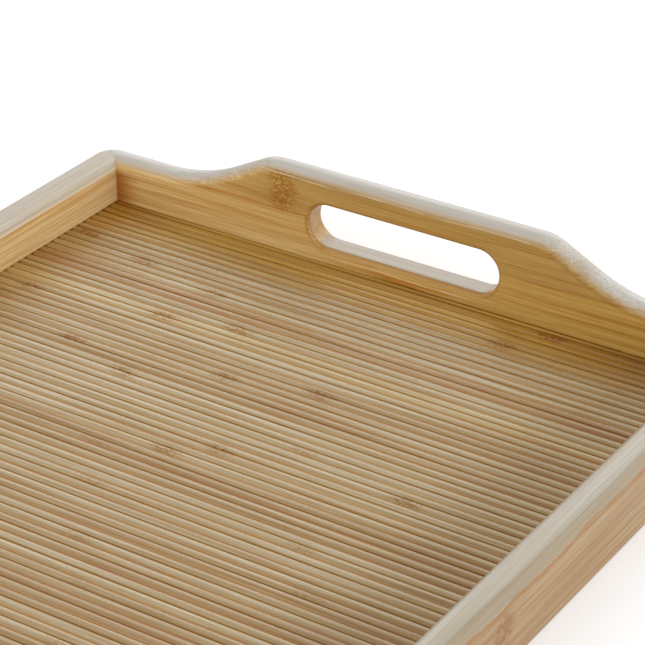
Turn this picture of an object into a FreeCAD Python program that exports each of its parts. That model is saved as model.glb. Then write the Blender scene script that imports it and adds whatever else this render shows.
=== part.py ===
"""Bamboo serving tray: four mitred walls round a floor of double-bead strips.

X runs along the handle walls, Y along the side walls, Z is up.
The origin is the middle of the face that the tray rests on.
"""
import FreeCAD, Part
import math
import os

V = FreeCAD.Vector
UP = V(0, 0, 1)

# ---------------------------------------------------------------- driving dimensions, mm
# Frame
tray_width = 356.0            # along a handle wall, outside
tray_length = 499.0           # along a side wall, outside
side_wall_thickness = 14.5
handle_wall_thickness = 13.0
side_wall_height = 35.7       # also the low ends of the handle walls
edge_roundover = 6.3          # upper edges of all walls
corner_radius = 12.0          # upright outer corners
foot_ease = 1.2               # lower outer edges

# Handle walls
handle_height = 56.8
crown_half_length = 69.5      # flat middle of the upper edge
shoulder_radius = 22.0        # where the crown turns down
sweep_radius = 85.0           # where the slope runs out into the low end
slope_angle = 27.5            # degrees

# Finger slot
slot_length = 102.0
slot_height = 21.5
slot_centre_height = 31.1
slot_roundover = 2.5

# Floor
strip_width_wanted = 10.0     # two beads
strip_thickness = 6.0         # at the top of a bead
strip_underside = 6.4         # above the resting face
bead_depth = 1.0              # groove inside a strip
joint_depth = 1.25            # groove between two strips
tongue_length = 3.5           # how far the floor reaches into the walls
tongue_end_gap = 0.3
tongue_top_gap = 0.05

# Hidden tongues across the mitres
spline_thickness = 2.0
spline_width = 4.0            # half of it in each wall
spline_height = 25.0
spline_web = 1.6              # wood between the floor groove and a tongue
spline_end_gap = 0.3          # above a tongue

# ---------------------------------------------------------------- derived sizes
inner_width = tray_width - 2 * side_wall_thickness
inner_length = tray_length - 2 * handle_wall_thickness
panel_width = inner_width + 2 * tongue_length
panel_length = inner_length + 2 * tongue_length
strip_count = round(panel_length / strip_width_wanted)
strip_width = panel_length / strip_count
groove_depth = tongue_length + tongue_end_gap
groove_top = strip_underside + strip_thickness + tongue_top_gap
near = 1e-4                   # two coordinates this close are the same


def centred_box(width, length, bottom, top):
    """A box with its middle on the Z axis."""
    corner = V(-width / 2, -length / 2, bottom)
    return Part.makeBox(width, length, top - bottom, corner)


def prism(points, height):
    """A flat outline pushed straight up."""
    outline = Part.makePolygon(points + points[:1])
    return Part.Face(outline).extrude(UP * height)


def mirrored(point):
    return V(-point.x, point.y, point.z)


# ---------------------------------------------------------------- frame
def handle_outline():
    """A handle wall seen from the front: crown, shoulders, slopes, sweeps and low ends."""
    angle = math.radians(slope_angle)
    rise, run = math.sin(angle), math.cos(angle)
    half_rise, half_run = math.sin(angle / 2), math.cos(angle / 2)
    arcs_drop = (shoulder_radius + sweep_radius) * (1 - run)
    slope_drop = handle_height - side_wall_height - arcs_drop

    crown = V(crown_half_length, 0, handle_height)
    shoulder_middle = crown + V(half_rise, 0, half_run - 1) * shoulder_radius
    shoulder_end = crown + V(rise, 0, run - 1) * shoulder_radius
    sweep_start = shoulder_end + V(slope_drop * run / rise, 0, -slope_drop)
    sweep_end = sweep_start + V(rise, 0, run - 1) * sweep_radius
    sweep_middle = sweep_end + V(-half_rise, 0, 1 - half_run) * sweep_radius
    low_end = V(tray_width / 2, 0, side_wall_height)
    foot = V(tray_width / 2, 0, 0)

    def upper_edge(place):
        return [
            Part.Arc(place(crown), place(shoulder_middle), place(shoulder_end)).toShape(),
            Part.makeLine(place(shoulder_end), place(sweep_start)),
            Part.Arc(place(sweep_start), place(sweep_middle), place(sweep_end)).toShape(),
            Part.makeLine(place(sweep_end), place(low_end)),
            Part.makeLine(place(low_end), place(foot)),
        ]

    edges = upper_edge(V) + upper_edge(mirrored)
    edges.append(Part.makeLine(mirrored(crown), crown))
    edges.append(Part.makeLine(foot, mirrored(foot)))
    return Part.Face(Part.Wire(Part.__sortEdges__(edges)))


def finger_slot():
    """The long hole through both handle walls, with full round ends."""
    end_radius = slot_height / 2
    end_centre = V(slot_length / 2 - end_radius, 0, slot_centre_height)
    reach = V(end_radius, 0, 0)
    up = V(0, 0, end_radius)
    left_centre = end_centre - V(2 * end_centre.x, 0, 0)
    outline = Part.Wire([
        Part.makeLine(left_centre + up, end_centre + up),
        Part.Arc(end_centre + up, end_centre + reach, end_centre - up).toShape(),
        Part.makeLine(end_centre - up, left_centre - up),
        Part.Arc(left_centre - up, left_centre - reach, left_centre + up).toShape(),
    ])
    slot = Part.Face(outline).extrude(V(0, tray_length, 0))
    slot.translate(V(0, -tray_length / 2, 0))
    return slot


def is_upright(edge):
    box = edge.BoundBox
    return box.XLength < near and box.YLength < near


def is_outer_rim(edge):
    """Round the top of the frame, on the outside."""
    box = edge.BoundBox
    outside = abs(box.Center.x) > inner_width / 2 or abs(box.Center.y) > inner_length / 2
    return box.ZMin > side_wall_height - near and outside


def is_inner_rim(edge):
    """Round the top of the frame, on the inside."""
    box = edge.BoundBox
    in_width = max(-box.XMin, box.XMax) <= inner_width / 2 + near
    in_length = max(-box.YMin, box.YMax) <= inner_length / 2 + near
    return box.ZMin > side_wall_height - near and in_width and in_length


def is_slot_rim(edge):
    """On the face of a handle wall, within the slot's outline."""
    box = edge.BoundBox
    in_height = abs(box.Center.z - slot_centre_height) <= slot_height / 2 + near
    in_length = max(-box.XMin, box.XMax) <= slot_length / 2 + near
    return in_height and in_length and box.YLength < near


def is_foot_edge(edge):
    return edge.BoundBox.ZMax < near


def rounded(solid, radius, wanted):
    return solid.makeFillet(radius, [edge for edge in solid.Edges if wanted(edge)])


def frame_ring():
    """All four walls in one piece, shaped outside and ploughed inside, before sawing.

    The outside and the inside are rounded apart, because the two roundovers cross at the corners.
    """
    outline = handle_outline()
    outline.translate(V(0, -tray_length / 2, 0))
    blank = outline.extrude(V(0, tray_length, 0))
    block = rounded(centred_box(tray_width, tray_length, 0, handle_height), corner_radius, is_upright)
    outside = rounded(block.common(blank).Solids[0], edge_roundover, is_outer_rim)
    outside = rounded(outside, foot_ease, is_foot_edge)
    well = centred_box(inner_width, inner_length, 0, handle_height)
    inside = rounded(blank.cut(well).Solids[0], edge_roundover, is_inner_rim)
    ring = outside.common(inside).Solids[0]
    ring = rounded(ring.cut(finger_slot()).Solids[0], slot_roundover, is_slot_rim)
    floor_groove = centred_box(inner_width + 2 * groove_depth, inner_length + 2 * groove_depth,
                               strip_underside, groove_top)
    ring = ring.cut(floor_groove)
    for across, along in mitres:
        ring = ring.cut(corner_spline(across, along, spline_height + spline_end_gap))
    return ring


# ---------------------------------------------------------------- corner splines
mitres = [(across, along) for along in (-1, 1) for across in (-1, 1)]


def corner_spline(across, along, height):
    """A thin board standing in a mitre, half in each wall, clear of the floor's groove."""
    inner_corner = V(across * inner_width / 2, along * inner_length / 2, 0)
    outwards = V(across, along, 0).normalize()
    sideways = V(-along, across, 0).normalize()
    groove_reach = groove_depth * math.sqrt(2)
    near_face = inner_corner + outwards * (groove_reach + spline_width / 2 + spline_web)
    far_face = near_face + outwards * spline_thickness
    side = sideways * spline_width / 2
    return prism([near_face - side, near_face + side, far_face + side, far_face - side], height)


# ---------------------------------------------------------------- walls
def mitre_cut(across, along):
    """The two ends of a 45 degree saw cut through an inner corner, each one past the frame."""
    inner_corner = V(across * inner_width / 2, along * inner_length / 2, 0)
    past = V(across, along, 0) * 2 * side_wall_thickness
    return [inner_corner + past, inner_corner - past]


def sawing_block(first_corner, second_corner):
    """The wedge that one wall is sawn to: a trapezium whose ends are the two mitres."""
    first_outside, first_inside = mitre_cut(*first_corner)
    second_outside, second_inside = mitre_cut(*second_corner)
    points = [first_outside, second_outside, second_inside, first_inside]
    return prism(points, handle_height)


def walls():
    ring = frame_ring()
    blocks = {
        "right_side_wall": sawing_block((1, -1), (1, 1)),
        "back_handle_wall": sawing_block((1, 1), (-1, 1)),
        "left_side_wall": sawing_block((-1, 1), (-1, -1)),
        "front_handle_wall": sawing_block((-1, -1), (1, -1)),
    }
    return {name: ring.common(block).Solids[0] for name, block in blocks.items()}


# ---------------------------------------------------------------- floor
def floor_strip():
    """One strip of the floor: flat below, two beads above, as long as the panel is wide."""
    half_width = strip_width / 2
    crest = strip_thickness
    joint = V(0, half_width, crest - joint_depth)
    bead_top = V(0, half_width / 2, crest)
    middle = V(0, 0, crest - bead_depth)

    def other_side(point):
        return V(point.x, -point.y, point.z)

    lower = V(0, half_width, 0)
    section = Part.Wire([
        Part.makeLine(other_side(lower), lower),
        Part.makeLine(lower, joint),
        Part.Arc(joint, bead_top, middle).toShape(),
        Part.Arc(middle, other_side(bead_top), other_side(joint)).toShape(),
        Part.makeLine(other_side(joint), other_side(lower)),
    ])
    strip = Part.Face(section).extrude(V(panel_width, 0, 0))
    strip.translate(V(-panel_width / 2, 0, strip_underside))
    return strip


def floor_strips():
    """The strips side by side, from the front to the back."""
    strips = {}
    for number in range(strip_count):
        strip = floor_strip()
        strip.translate(V(0, (number + 0.5) * strip_width - panel_length / 2, 0))
        strips["floor_strip_%02d" % (number + 1)] = strip
    return strips


# ---------------------------------------------------------------- output
def corner_splines():
    names = ("front_left", "front_right", "back_left", "back_right")
    return {"corner_spline_" + name: corner_spline(across, along, spline_height)
            for name, (across, along) in zip(names, mitres)}


os.makedirs("parts", exist_ok=True)
nodes = {}
nodes.update(walls())
nodes.update(corner_splines())
nodes.update(floor_strips())
for node, shape in nodes.items():
    shape.exportStep("parts/" + node + ".step")
print(len(nodes), "nodes;", strip_count, "strips of", round(strip_width, 3), "mm")
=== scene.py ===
"""A bamboo serving tray: a ribbed floor of glued strips, held in a rounded frame that has a handle
at each end."""

from math import pi, radians

import bpy
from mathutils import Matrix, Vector

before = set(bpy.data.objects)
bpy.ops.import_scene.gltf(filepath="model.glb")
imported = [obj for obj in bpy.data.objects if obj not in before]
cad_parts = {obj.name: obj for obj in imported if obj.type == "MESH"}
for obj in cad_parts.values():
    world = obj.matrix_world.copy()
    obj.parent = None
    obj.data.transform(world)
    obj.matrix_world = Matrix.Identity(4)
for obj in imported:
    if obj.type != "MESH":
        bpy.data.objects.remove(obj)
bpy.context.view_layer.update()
MM = 0.001


# ---------------------------------------------------------------- floor strips
# Forty-eight strips of split bamboo lie side by side across the tray, glued edge to edge. Each one is
# planed and run through a cutter that leaves two round beads on its upper face, then lacquered with a
# clear semi-gloss coat. Their colour holds painted light: painted shade in the groove bottoms, on the
# far side of each bead and on the floor near the walls, and a painted highlight on the bead crests.

def step(tree, kind, inputs=None, **settings):
    """One node of a finish: its settings, then its inputs, each a value or another node's output."""
    node = tree.nodes.new(kind)
    for key, value in settings.items():
        setattr(node, key, value)
    for key, value in (inputs or {}).items():
        if isinstance(value, bpy.types.NodeSocket):
            tree.links.new(value, node.inputs[key])
        else:
            node.inputs[key].default_value = value
    return node


def figure(tree, operation, *values):
    """The output of a Math node."""
    return step(tree, "ShaderNodeMath", dict(enumerate(values)), operation=operation).outputs[0]


def times(tree, first, second):
    """The product of two values."""
    return figure(tree, "MULTIPLY", first, second)


def arrow(tree, operation, first, second=None):
    """The output of a Vector Math node: an arrow, or for LENGTH its length."""
    inputs = {0: first}
    if second is not None:
        inputs["Scale" if operation == "SCALE" else 1] = second
    outputs = step(tree, "ShaderNodeVectorMath", inputs, operation=operation).outputs
    return outputs["Value" if operation == "LENGTH" else "Vector"]


def noise(tree, where, detail, output=0):
    """Clouds, each about as wide as one unit of where they lie, as one value or as a colour."""
    inputs = {"Vector": where, "Scale": 1.0, "Detail": detail}
    return step(tree, "ShaderNodeTexNoise", inputs).outputs[output]


def fade(tree, value, low, high, at_low=0.0, at_high=1.0, smooth=True):
    """value, from low to high, turned into at_low to at_high."""
    return step(
        tree, "ShaderNodeMapRange",
        {0: value, 1: low, 2: high, 3: at_low, 4: at_high},
        interpolation_type="SMOOTHSTEP" if smooth else "LINEAR",
    ).outputs[0]


def band(tree, value, middle, half, soft):
    """1 within half of middle, and 0 from soft beyond that."""
    away = figure(tree, "ABSOLUTE", figure(tree, "SUBTRACT", value, middle))
    return fade(tree, away, half, half + soft, 1.0, 0.0)


def lay_over(tree, share, first, second, kind="MIX"):
    """A second colour laid over the first by a share from 0 to 1."""
    inputs = {0: share, 6: first, 7: second}
    return step(tree, "ShaderNodeMix", inputs, data_type="RGBA", blend_type=kind).outputs[2]


def stain(tree, share, colour, tint):
    """A colour with a see-through tint over a share of it."""
    return lay_over(tree, share, colour, tint, "MULTIPLY")


def srgb(red, green, blue):
    """A colour as a paint chart writes it, 0 to 255, made linear."""
    parts = [part / 255 for part in (red, green, blue)]
    return (*[p / 12.92 if p < 0.04045 else ((p + 0.055) / 1.055) ** 2.4 for p in parts], 1.0)


def split_bamboo():
    """Long pale fibres, thin darker bundles that show as dashes along the grain and as dots on a
    cut end, a few orange stains, slow changes of tone, and a knot of curly grain where the cane
    had a joint. Every stick is cut from another place in the cane."""
    tree = bpy.data.node_groups.new("split bamboo", "ShaderNodeTree")
    for name, kind in (
        ("Place", "Vector"), ("Tone", "Color"), ("Stick", "Float"), ("End grain", "Float"),
        ("Knot", "Vector"), ("Knot reach", "Vector"), ("Knot share", "Float"),
    ):
        tree.interface.new_socket(name, in_out="INPUT", socket_type="NodeSocket" + kind)
    for name, kind in (("Colour", "Color"), ("Relief", "Float"), ("Roughness", "Float")):
        tree.interface.new_socket(name, in_out="OUTPUT", socket_type="NodeSocket" + kind)
    given = tree.nodes.new("NodeGroupInput").outputs
    to_next_stick = (173.1, 31.7, 57.3)
    place = arrow(tree, "ADD", given["Place"], arrow(tree, "SCALE", to_next_stick, given["Stick"]))

    def stretched(along, across):
        return arrow(tree, "MULTIPLY", place, (1 / along, 1 / across, 1 / across))

    broad = noise(tree, stretched(140, 3.2), 1.0)
    fibre = noise(tree, stretched(60, 0.42), 1.0)
    fine = noise(tree, stretched(20, 0.2), 0.0)
    orange = fade(tree, noise(tree, stretched(110, 1.1), 1.0), 0.55, 0.67)
    bundle = step(tree, "ShaderNodeTexVoronoi", {"Vector": stretched(16, 0.9), "Scale": 1.0})
    bundle = fade(tree, bundle.outputs["Distance"], 0.12, 0.36, 1.0, 0.0)

    colour = given["Tone"]
    for cloud, dark in (
        (broad, srgb(240, 230, 212)),
        (fibre, srgb(230, 216, 192)),
        (fine, srgb(243, 239, 232)),
    ):
        streak = lay_over(tree, fade(tree, cloud, 0.3, 0.68), dark, srgb(255, 255, 255))
        colour = stain(tree, 1.0, colour, streak)
    colour = stain(tree, times(tree, orange, 0.55), colour, srgb(238, 208, 150))
    dots = times(tree, bundle, fade(tree, given["End grain"], 0.0, 1.0, 0.28, 0.9))
    colour = stain(tree, dots, colour, srgb(232, 192, 124))

    away = arrow(tree, "SUBTRACT", given["Place"], given["Knot"])
    away = arrow(tree, "LENGTH", arrow(tree, "DIVIDE", away, given["Knot reach"]))
    away = figure(tree, "ADD", away, fade(tree, fine, 0.3, 0.7, -0.2, 0.2))
    knot = times(tree, fade(tree, away, 0.45, 1.0, 1.0, 0.0), given["Knot share"])
    swirl = arrow(tree, "SCALE", noise(tree, stretched(4.0, 3.0), 1.0, "Color"), 1.8)
    swirl = arrow(tree, "ADD", swirl, stretched(3.6, 2.2))
    curl = step(tree, "ShaderNodeTexVoronoi", {"Vector": swirl, "Scale": 1.0}, feature="DISTANCE_TO_EDGE")
    curl = times(tree, fade(tree, curl.outputs["Distance"], 0.0, 0.25, 1.0, 0.0), knot)
    colour = stain(tree, times(tree, knot, 0.4), colour, srgb(252, 232, 184))
    colour = stain(tree, times(tree, curl, 0.8), colour, srgb(208, 174, 92))

    relief = figure(tree, "ADD", times(tree, fibre, 0.022), times(tree, fine, 0.01))
    relief = figure(tree, "SUBTRACT", relief, times(tree, bundle, 0.006))
    relief = figure(tree, "SUBTRACT", relief, times(tree, curl, 0.025))
    rougher = times(tree, given["End grain"], 0.12)
    roughness = figure(tree, "ADD", fade(tree, fibre, 0.3, 0.7, 0.5, 0.38), rougher)
    step(tree, "NodeGroupOutput", {"Colour": colour, "Relief": relief, "Roughness": roughness})
    return tree


def in_millimetres(tree, order):
    """Object coordinates in millimetres: as a place, in the order along the grain, across it and
    through it, and then as X, Y and Z on their own."""
    place = arrow(tree, "SCALE", step(tree, "ShaderNodeTexCoord").outputs["Object"], 1 / MM)
    parts = step(tree, "ShaderNodeSeparateXYZ", {0: place}).outputs
    turned = {n: parts["XYZ".index(axis)] for n, axis in enumerate(order)}
    return step(tree, "ShaderNodeCombineXYZ", turned).outputs[0], parts


def facing(tree):
    """How far the surface faces along X, Y and Z, each from -1 to 1."""
    normal = step(tree, "ShaderNodeNewGeometry").outputs["Normal"]
    return step(tree, "ShaderNodeSeparateXYZ", {0: normal}).outputs


CLEAR_COAT = 0.6


def lacquered(name):
    """A material with only its lacquer: semi-gloss, with a thin clear coat."""
    material = bpy.data.materials.new(name)
    material.use_nodes = True
    shader = material.node_tree.nodes["Principled BSDF"]
    shader.inputs["IOR"].default_value = 1.5
    shader.inputs["Specular IOR Level"].default_value = 0.2
    shader.inputs["Coat Weight"].default_value = CLEAR_COAT
    shader.inputs["Coat Roughness"].default_value = 0.28
    return material, material.node_tree, shader


def cut_stick(tree, place, stick, knot, reach):
    """A length of split bamboo of its own, with a knot at a place and of a reach, in millimetres."""
    wood = step(tree, "ShaderNodeGroup", node_tree=bamboo)
    tree.links.new(place, wood.inputs["Place"])
    wood.inputs["Stick"].default_value = stick
    wood.inputs["Knot"].default_value = knot
    wood.inputs["Knot reach"].default_value = reach
    wood.inputs["Knot share"].default_value = 1.0
    return wood


def finish(tree, shader, wood, colour):
    """The wood's relief and roughness and its last colour, joined to the lacquer."""
    bump = step(tree, "ShaderNodeBump", {"Height": wood.outputs["Relief"], "Distance": MM, "Strength": 1.0})
    tree.links.new(bump.outputs[0], shader.inputs["Normal"])
    tree.links.new(wood.outputs["Roughness"], shader.inputs["Roughness"])
    tree.links.new(colour, shader.inputs["Base Color"])


def dress(node, material):
    """A piece gets its material, which fills a slot of its own kind."""
    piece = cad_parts[node]
    piece.data.materials.clear()
    piece.data.materials.append(material)


bamboo = split_bamboo()

STRIP_COUNT, STRIP_WIDTH, BEAD_WIDTH = 48, 10.0, 5.0
CREST, VALLEY = 12.4, 11.4
FAR_SIDE_SHADE = 0.6        # a bead's far side gets painted shade, as brown as if it lay this much deeper
BEAD_TONES = {
    "cream": srgb(224, 203, 163),
    "light": srgb(213, 192, 158),
    "mid": srgb(209, 186, 150),
    "tan": srgb(204, 177, 137),
    "red": srgb(201, 165, 120),
    "brown": srgb(199, 168, 124),
    "amber": srgb(206, 174, 118),
    "golden": srgb(205, 171, 100),
}
# From the front strip to the back one. The amber and golden strips at the back are partly their own
# tone and partly painted shade from the back wall.
STRIP_TONES = (
    "mid tan light mid tan mid light tan mid light tan mid "
    "tan mid light mid tan light mid brown tan light tan mid "
    "tan mid light light tan brown light light light light light tan "
    "mid tan light cream light red light mid mid amber golden golden"
).split()
# How far each lies across the tray and along it. Strips without a clear knot have a faint one.
CLEAR_KNOTS = (
    (82, 232), (67, 214), (-154, 202), (-114, 193), (-69, 184), (-39, 162.5), (-75, 154), (-144, 144),
    (23.5, 134), (-20, 124), (-96.5, 116), (-60, 104), (97, 82.5), (12, 74), (-6.5, 62.5),
)
CLEAR_KNOT, FAINT_KNOT = 1.3, 0.6
KNOT_REACH = (10.0, 3.8, 6.0)
FAINT_KNOT_PACE, FAINT_KNOT_SPREAD = 97, 310


def faint_knot(number, middle):
    """Where a strip's faint knot lies: on the back bead of the odd strips and the front bead of
    the even ones, scattered across the tray by an even pace that starts again at its left."""
    from_left = number * FAINT_KNOT_PACE % FAINT_KNOT_SPREAD
    to_bead = BEAD_WIDTH / 2 if number % 2 else -BEAD_WIDTH / 2
    return from_left - FAINT_KNOT_SPREAD / 2, middle + to_bead


for number in range(1, STRIP_COUNT + 1):
    middle = (number - (STRIP_COUNT + 1) / 2) * STRIP_WIDTH
    material, tree, shader = lacquered(f"floor strip {number:02d}")
    place, (across_tray, along_tray, height) = in_millimetres(tree, "XYZ")
    clear = [knot for knot in CLEAR_KNOTS if abs(knot[1] - middle) <= STRIP_WIDTH / 2]
    centre = clear[0] if clear else faint_knot(number, middle)
    wood = cut_stick(tree, place, number, (*centre, CREST), KNOT_REACH)
    wood.inputs["Knot share"].default_value = CLEAR_KNOT if clear else FAINT_KNOT

    tone = BEAD_TONES[STRIP_TONES[number - 1]]
    # Painted light on each bead: a painted highlight, paler and greyer, on the crest, and painted shade,
    # browner, towards the grooves and on the far side.
    groove_shade_tone = stain(tree, 1.0, tone, srgb(248, 207, 62))
    crest_highlight_tone = stain(tree, 1.0, tone, srgb(239, 248, 255))
    cut = figure(tree, "SUBTRACT", height, times(tree, facing(tree)[1], FAR_SIDE_SHADE))
    depth = fade(tree, cut, VALLEY, CREST + 0.05, 1.0, 0.0)
    tree.links.new(lay_over(tree, depth, crest_highlight_tone, groove_shade_tone), wood.inputs["Tone"])

    # Painted shade: a browner line along every groove bottom, where the clear coat also thins out to none.
    side_groove = fade(tree, cut, VALLEY - 0.02, VALLEY + 0.26, 1.0, 0.0)
    middle_groove = band(tree, along_tray, middle, 0.2, 0.25)
    upper_side = fade(tree, height, VALLEY - 0.8, VALLEY - 0.7)
    groove_bottom = times(tree, figure(tree, "MAXIMUM", side_groove, middle_groove), upper_side)
    colour = stain(tree, groove_bottom, wood.outputs["Colour"], srgb(200, 188, 116))
    # Painted shade on the floor near the right, left and back walls and in the back right corner.
    shade_by_right_wall = fade(tree, across_tray, 80.0, 145.0)
    shade_by_left_wall = fade(tree, across_tray, -112.0, -150.0)
    shade_by_back_wall = fade(tree, along_tray, 196.0, 234.0)
    shade_in_back_corner = times(tree, shade_by_back_wall, fade(tree, across_tray, 50.0, 120.0))
    for share, deeper in (
        (shade_by_right_wall, srgb(226, 216, 188)),
        (shade_by_left_wall, srgb(241, 225, 186)),
        (shade_by_back_wall, srgb(253, 238, 168)),
        (shade_in_back_corner, srgb(236, 224, 170)),
    ):
        colour = stain(tree, share, colour, deeper)
    tree.links.new(fade(tree, groove_bottom, 0.0, 1.0, CLEAR_COAT, 0.0), shader.inputs["Coat Weight"])
    finish(tree, shader, wood, colour)
    dress(f"floor_strip_{number:02d}", material)


# ---------------------------------------------------------------- side walls
# Two long walls, each sawn from one lacquered bamboo board. The upper edges are rounded over with a
# router and smoothed with sandpaper. Their paler, greyer tone is a painted sheen, which washes their
# figure faint, with painted shade on the right wall's shoulder. A darker orange line runs along each
# board just under the rounded edge.

def seams(tree, colour, height, along, lines, tint, kind="MIX", wander=0.5, broken=0.2):
    """Thin lines along a board, each given by its height, half its thickness, where it starts and
    ends, and its strength. They wander up and down, and are broken by paler patches."""

    def clouds_along(pace, level, detail):
        where = step(tree, "ShaderNodeCombineXYZ", {0: times(tree, along, pace), 1: level}).outputs[0]
        return noise(tree, where, detail)

    drift = clouds_along(0.03, lines[0][0], 1.0)
    height = figure(tree, "ADD", height, fade(tree, drift, 0.3, 0.7, -wander, wander))
    patch = fade(tree, clouds_along(0.09, height, 2.0), 0.42, 0.58, 1.0 - broken, 1.0)
    for at, half, start, end, strength in lines:
        reach = band(tree, along, (start + end) / 2, (end - start) / 2, 14.0)
        line = times(tree, band(tree, height, at, half, 0.3), reach)
        share = times(tree, patch, times(tree, line, strength))
        colour = lay_over(tree, share, colour, tint, kind)
    return colour


def inner_height(tree, height, across_wall, inner_face):
    """The height on a wall's inner side, and far above the wall on its outer side."""
    from_middle = figure(tree, "ABSOLUTE", across_wall)
    outside = fade(tree, from_middle, inner_face + 0.5, inner_face + 1.5, 0.0, 200.0)
    return figure(tree, "ADD", height, outside)


def veiled(tree, veil, wood, tone):
    """The wood's figure, washed faint under a painted sheen: a veil of the wood's own tone lies over it."""
    return lay_over(tree, veil, wood.outputs["Colour"], stain(tree, 1.0, tone, srgb(243, 241, 238)))


WALL_END = 240.0        # a line between these two ends runs the whole length of a wall
FOOT_SHADE = (11.9, 0.7, -WALL_END, WALL_END, 0.8)      # painted shade where a wall meets the floor
SIDE_INNER_FACE = 163.5


def side_wall(
    name, stick, knot_at, coat, face_tone, sheen_tone, sheen_from,
    shoulder_tone, top_tone, top_from, lines, tint, wander, broken,
):
    """A side wall: a tone for its faces, a painted sheen above a height, and two tones for what faces up
    at least so far, painted light on the rounded shoulder and the flat of the top. Then its darker lines
    and painted shade along the foot of its inner face."""
    material, tree, shader = lacquered(name.replace("_", " "))
    place, (across_tray, along_tray, height) = in_millimetres(tree, "YXZ")
    normal = facing(tree)
    along = figure(tree, "ABSOLUTE", normal[1])
    up = normal[2]
    wood = cut_stick(tree, place, stick, (knot_at, 170.0, 18.0), (9.0, 60.0, 12.0))
    shader.inputs["Coat Weight"].default_value = coat

    # Painted sheen above a height and where the surface faces up; the right wall's shoulder tone is painted
    # shade.
    sheen_band = fade(tree, height, sheen_from, sheen_from + 0.6)
    top = fade(tree, up, top_from, top_from + 0.2)
    rounded_tone = lay_over(tree, fade(tree, up, 0.7, 0.98), shoulder_tone, top_tone)
    tone = lay_over(tree, sheen_band, face_tone, sheen_tone)
    tone = lay_over(tree, top, tone, rounded_tone)
    tree.links.new(tone, wood.inputs["Tone"])
    tree.links.new(fade(tree, along, 0.15, 0.6), wood.inputs["End grain"])

    veil = figure(tree, "SUBTRACT", times(tree, sheen_band, 0.7), times(tree, top, 0.3))
    colour = veiled(tree, veil, wood, tone)
    colour = seams(tree, colour, height, along_tray, lines, tint, wander=wander, broken=broken)
    # Painted shade along the foot of the inner face.
    inside = inner_height(tree, height, across_tray, SIDE_INNER_FACE)
    foot_tint = srgb(214, 178, 128)
    colour = seams(tree, colour, inside, along_tray, (FOOT_SHADE,), foot_tint, "MULTIPLY", wander=0.0)
    finish(tree, shader, wood, colour)
    dress(name, material)


side_wall(
    "left_side_wall", stick=61, knot_at=-80.0, coat=CLEAR_COAT,
    face_tone=srgb(236, 215, 172), sheen_tone=srgb(241, 232, 213), sheen_from=29.0,
    shoulder_tone=srgb(209, 205, 193), top_tone=srgb(190, 183, 170), top_from=0.1,
    lines=(
        (28.0, 0.4, 60.0, 205.0, 0.6),
        (25.2, 0.2, -WALL_END, WALL_END, 0.5),
        (28.3, 0.4, -WALL_END, 20.0, 0.6),
        (22.4, 0.15, -WALL_END, 190.0, 0.35),
        (20.2, 0.15, 60.0, WALL_END, 0.3),
        (15.0, 0.2, -WALL_END, 150.0, 0.35),
    ),
    tint=srgb(219, 168, 84), wander=0.5, broken=0.2,
)
side_wall(
    "right_side_wall", stick=62, knot_at=20.0, coat=0.5,
    face_tone=srgb(190, 162, 121), sheen_tone=srgb(180, 165, 141), sheen_from=28.2,
    shoulder_tone=srgb(163, 155, 140), top_tone=srgb(196, 192, 181), top_from=0.66,
    lines=(
        (28.2, 1.2, -WALL_END, WALL_END, 1.0),
        (21.6, 0.3, -WALL_END, 110.0, 0.3),
        (17.5, 0.25, -60.0, WALL_END, 0.25),
    ),
    tint=srgb(166, 114, 42), wander=1.2, broken=0.6,
)


# ---------------------------------------------------------------- handle walls
# Two short walls, higher in the middle to carry the finger slots, each glued up from a lower and an
# upper board. Crown, slopes and low ends are rounded over in one pass and smoothed with sandpaper.
# Their pale tone, and the whitish floor of each slot, is a painted sheen that washes the figure faint.
# Where the router crosses the fibres, on the slopes and in the slot ends, the cut bundles show as dots.

SLOT_HEIGHT, SLOT_HALF_LENGTH, SLOT_HALF_HEIGHT = 31.1, 51.0, 10.75
BESIDE_SLOT = 2.0
BOARD_JOINT = 33.65
HANDLE_INNER_FACE = 236.5
JOINT_AND_FIBRES = (
    (BOARD_JOINT, 0.12, -112.0, -54.0, 0.9),
    (34.3, 0.12, 70.0, 125.0, 0.9),
    (38.9, 0.2, -94.0, -76.0, 0.6),
    (25.4, 0.1, -150.0, -60.0, 0.35),
    (16.4, 0.1, 40.0, 160.0, 0.35),
    (26.0, 0.1, 60.0, 160.0, 0.35),
    (17.4, 0.15, -42.0, -18.0, 0.9),
    (14.9, 0.3, -12.0, 20.0, 0.9),
    (13.4, 0.6, -6.0, 4.0, 0.9),
)
# Painted highlights: thin light lines where the rounded edges start.
HIGHLIGHT_LINES = (
    (52.6, 0.12, -72.0, 75.0, 0.5),
    (16.1, 0.18, -24.0, 28.0, 0.8),
)
# Painted shade along the foot of a handle wall, and a dark painted line in the gap to the floor.
FOOT_LINES = (FOOT_SHADE, (12.6, 0.2, -5.0, 170.0, 1.0))

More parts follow.
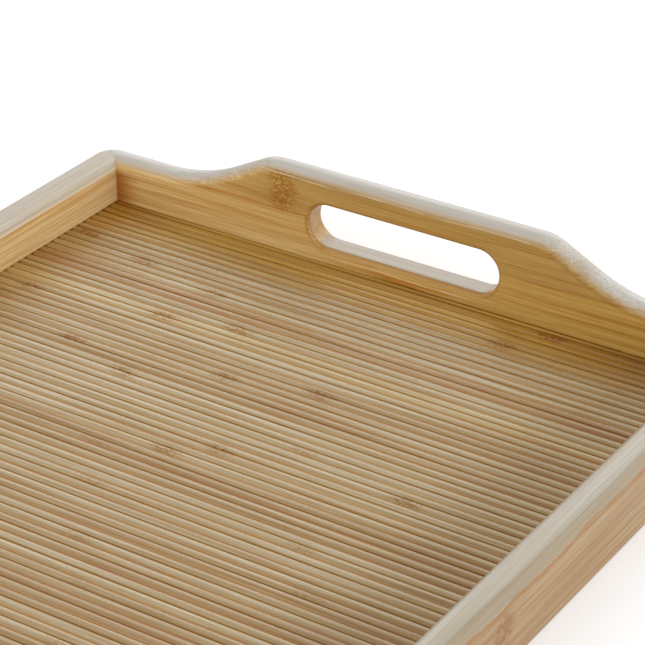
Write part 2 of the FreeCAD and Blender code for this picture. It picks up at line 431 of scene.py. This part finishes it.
for name, stick, turn, knot in (
    ("back_handle_wall", 63, 1.0, -65.0),
    ("front_handle_wall", 64, -1.0, 58.0),
):
    material, tree, shader = lacquered(name.replace("_", " "))
    place, (across_tray, along_tray, height) = in_millimetres(tree, "XYZ")
    normal = facing(tree)
    across = figure(tree, "ABSOLUTE", normal[0])
    along = figure(tree, "ABSOLUTE", normal[1])
    up = normal[2]
    along_wall = times(tree, across_tray, turn)
    wood = cut_stick(tree, place, stick, (knot, 243.0 * turn, 47.0), (10.5, 40.0, 24.0))

    upper = fade(tree, height, BOARD_JOINT - 0.15, BOARD_JOINT + 0.15)
    # The lower board darkens towards the right: partly its own tone, partly painted shade from the right
    # wall.
    to_right = fade(tree, along_wall, -120.0, 130.0)
    lower_tone = lay_over(tree, to_right, srgb(239, 212, 152), srgb(214, 180, 98))
    past_knot = fade(tree, across_tray, -105.0, -60.0)
    upper_tone = lay_over(tree, past_knot, srgb(228, 198, 134), srgb(213, 182, 114))
    tone = lay_over(tree, upper, lower_tone, upper_tone)
    # Painted shade where the faces begin to turn up, from X = -90 mm rightwards.
    turning_shade = times(tree, fade(tree, up, 0.0, 0.15), fade(tree, across_tray, -90.0, -50.0))
    tone = stain(tree, turning_shade, tone, srgb(232, 227, 206))
    end_grain = fade(tree, across, 0.15, 0.6)
    tone = lay_over(tree, end_grain, tone, srgb(217, 191, 146))

    slot_reach = band(tree, across_tray, 0.0, SLOT_HALF_LENGTH + BESIDE_SLOT, 1.0)
    slot_rise = band(tree, height, SLOT_HEIGHT, SLOT_HALF_HEIGHT + BESIDE_SLOT, 1.0)
    by_slot = times(tree, slot_reach, slot_rise)
    off_slot = figure(tree, "SUBTRACT", 1.0, by_slot)
    # Painted sheen: paler and greyer where the rims face up, and whitish on the floor of each slot; under
    # it the knot and figure fade.
    rim_sheen = times(tree, fade(tree, up, 0.28, 0.9), off_slot)
    slot_sheen = times(tree, fade(tree, up, 0.8, 0.95), by_slot)
    pale = figure(tree, "ADD", rim_sheen, slot_sheen)
    pale_tone = lay_over(tree, by_slot, srgb(212, 214, 215), srgb(187, 180, 167))
    tone = lay_over(tree, pale, tone, pale_tone)
    knot_share = times(tree, upper, fade(tree, pale, 0.0, 0.7, 1.0, 0.2))
    tree.links.new(knot_share, wood.inputs["Knot share"])
    tree.links.new(tone, wood.inputs["Tone"])
    tree.links.new(end_grain, wood.inputs["End grain"])

    veil = times(tree, pale, fade(tree, end_grain, 0.0, 1.0, 0.5, 0.2))
    colour = veiled(tree, veil, wood, tone)
    colour = seams(tree, colour, height, along_wall, JOINT_AND_FIBRES, srgb(238, 198, 120), "MULTIPLY")
    # Painted highlight lines along the start of the rounded edges.
    highlight_tone = srgb(236, 212, 164)
    colour = seams(tree, colour, height, along_wall, HIGHLIGHT_LINES, highlight_tone, wander=0.4, broken=0.7)
    # Painted shade along the foot of the inner face, darkest in the gap to the floor on the right.
    inside = inner_height(tree, height, along_tray, HANDLE_INNER_FACE)
    colour = seams(tree, colour, inside, along_wall, FOOT_LINES, srgb(176, 140, 84), "MULTIPLY", wander=0.0)
    # Painted shade on the slot's rounded rim, by how far it faces along the tray.
    half_facing = times(tree, fade(tree, along, 0.12, 0.4), fade(tree, along, 0.93, 0.995, 1.0, 0.0))
    slot_rim_shade = times(tree, half_facing, by_slot)
    colour = stain(tree, times(tree, slot_rim_shade, 0.6), colour, srgb(240, 212, 150))
    # Painted shade on the lower inner face near each corner.
    by_corner = fade(tree, figure(tree, "ABSOLUTE", across_tray), 148.0, 164.0)
    corner = times(tree, by_corner, fade(tree, inside, 26.0, 31.0, 1.0, 0.0))
    finish(tree, shader, wood, stain(tree, corner, colour, srgb(206, 158, 78)))
    dress(name, material)


# ---------------------------------------------------------------- corner splines
# Four thin boards of bare bamboo, glued upright across the mitres. They hold the corners from inside
# the walls, and only their lower ends show, flush with the foot of the frame.

KNOT_OUT_OF_SIGHT = (400.0, 0.0, 0.0)

for number, corner_name in enumerate(("front_left", "front_right", "back_left", "back_right")):
    material, tree, shader = lacquered("spline " + corner_name.replace("_", " "))
    place = in_millimetres(tree, "ZXY")[0]
    wood = cut_stick(tree, place, 70 + number, KNOT_OUT_OF_SIGHT, (1.0, 1.0, 1.0))
    wood.inputs["Tone"].default_value = srgb(206, 176, 126)
    up = figure(tree, "ABSOLUTE", facing(tree)[2])
    tree.links.new(fade(tree, up, 0.15, 0.6), wood.inputs["End grain"])
    finish(tree, shader, wood, wood.outputs["Colour"])
    dress("corner_spline_" + corner_name, material)


# ---------------------------------------------------------------- the table it stands on
# A plain white board, wide enough to fill the view. It keeps the tray's soft shadow, it gets brighter
# towards its far edges, and it can be looked through from below.

bpy.ops.object.select_all(action="DESELECT")
bpy.ops.mesh.primitive_plane_add(size=8.0, location=(0.0, 0.0, -0.02 * MM))
table_top = bpy.context.object
table_top.name = "table_top"
white = bpy.data.materials.new("white board")
white.use_nodes = True
tree = white.node_tree
board = tree.nodes["Principled BSDF"]
board.inputs["Base Color"].default_value = (0.80, 0.80, 0.80, 1)
board.inputs["Roughness"].default_value = 0.9
board.inputs["Specular IOR Level"].default_value = 0.0
board.inputs["Emission Color"].default_value = (1, 1, 1, 1)


def seen_directly(tree):
    """1 for what is seen straight, in a reflection or through glass, and 0 for light on the object."""
    rays = step(tree, "ShaderNodeLightPath").outputs
    straight = figure(tree, "MAXIMUM", rays["Is Camera Ray"], rays["Is Glossy Ray"])
    return figure(tree, "MAXIMUM", straight, rays["Is Transmission Ray"])


GLOW_NEAR, GLOW_FAR = 0.34, 0.64

from_tray = arrow(tree, "LENGTH", step(tree, "ShaderNodeTexCoord").outputs["Object"])
glow = times(tree, seen_directly(tree), fade(tree, from_tray, 1.2, 3.0, GLOW_NEAR, GLOW_FAR))
tree.links.new(glow, board.inputs["Emission Strength"])
from_below = step(tree, "ShaderNodeNewGeometry").outputs["Backfacing"]
clear = step(tree, "ShaderNodeBsdfTransparent").outputs[0]
see_through = step(tree, "ShaderNodeMixShader", {0: from_below, 1: board.outputs[0], 2: clear})
tree.links.new(see_through.outputs[0], tree.nodes["Material Output"].inputs["Surface"])
table_top.data.materials.append(white)


# ---------------------------------------------------------------- light
# A white room, and three softboxes: a wide one behind the tray for the sheen on its rounded edges, one
# low on the right, and one at the front left.

LIT_BY_ROOM, ROOM_SEEN = 0.46, 1.0

world = bpy.data.worlds.new("white room")
bpy.context.scene.world = world
world.use_nodes = True
tree = world.node_tree
sky = tree.nodes["Background"]
sky.inputs["Color"].default_value = (1, 1, 1, 1)
brightness = fade(tree, seen_directly(tree), 0.0, 1.0, LIT_BY_ROOM, ROOM_SEEN, smooth=False)
tree.links.new(brightness, sky.inputs["Strength"])


def softbox(name, place, aim, width, height, radiance):
    """A soft lamp at place, turned to aim, as bright all over as radiance."""
    lamp = bpy.data.lights.new(name, "AREA")
    lamp.shape = "RECTANGLE"
    lamp.size = width
    lamp.size_y = height
    lamp.energy = radiance * pi * width * height
    holder = bpy.data.objects.new(name, lamp)
    bpy.context.collection.objects.link(holder)
    holder.location = place
    holder.rotation_euler = (Vector(aim) - Vector(place)).to_track_quat("-Z", "Y").to_euler()
    holder.visible_camera = False


softbox("back softbox", (-0.15, 1.6, 1.1), (0, 0.05, 0), 3.0, 1.4, 1.45)
softbox("right softbox", (4.5, -0.6, 1.5), (0, 0.1, 0), 3.6, 2.0, 4.4)
softbox("front softbox", (-1.2, -2.1, 1.25), (-0.05, 0.15, 0), 4.6, 2.4, 1.02)


# ---------------------------------------------------------------- camera
# It looks down over the front right corner towards the back handle wall.

camera = bpy.data.objects.new("camera", bpy.data.cameras.new("camera"))
bpy.context.collection.objects.link(camera)
bpy.context.scene.camera = camera
camera.data.sensor_width = 36.0
camera.data.lens = 143.32
camera.location = (0.54266, -0.65777, 0.57419)
line_of_sight = Vector((-0.478768, 0.731231, -0.485883))
camera.rotation_euler = line_of_sight.to_track_quat("-Z", "Y").to_euler()
camera.rotation_euler.rotate_axis("Z", radians(-0.179))
camera.data.clip_start = 0.01
camera.data.clip_end = 50.0

bpy.context.scene.view_settings.view_transform = "Standard"
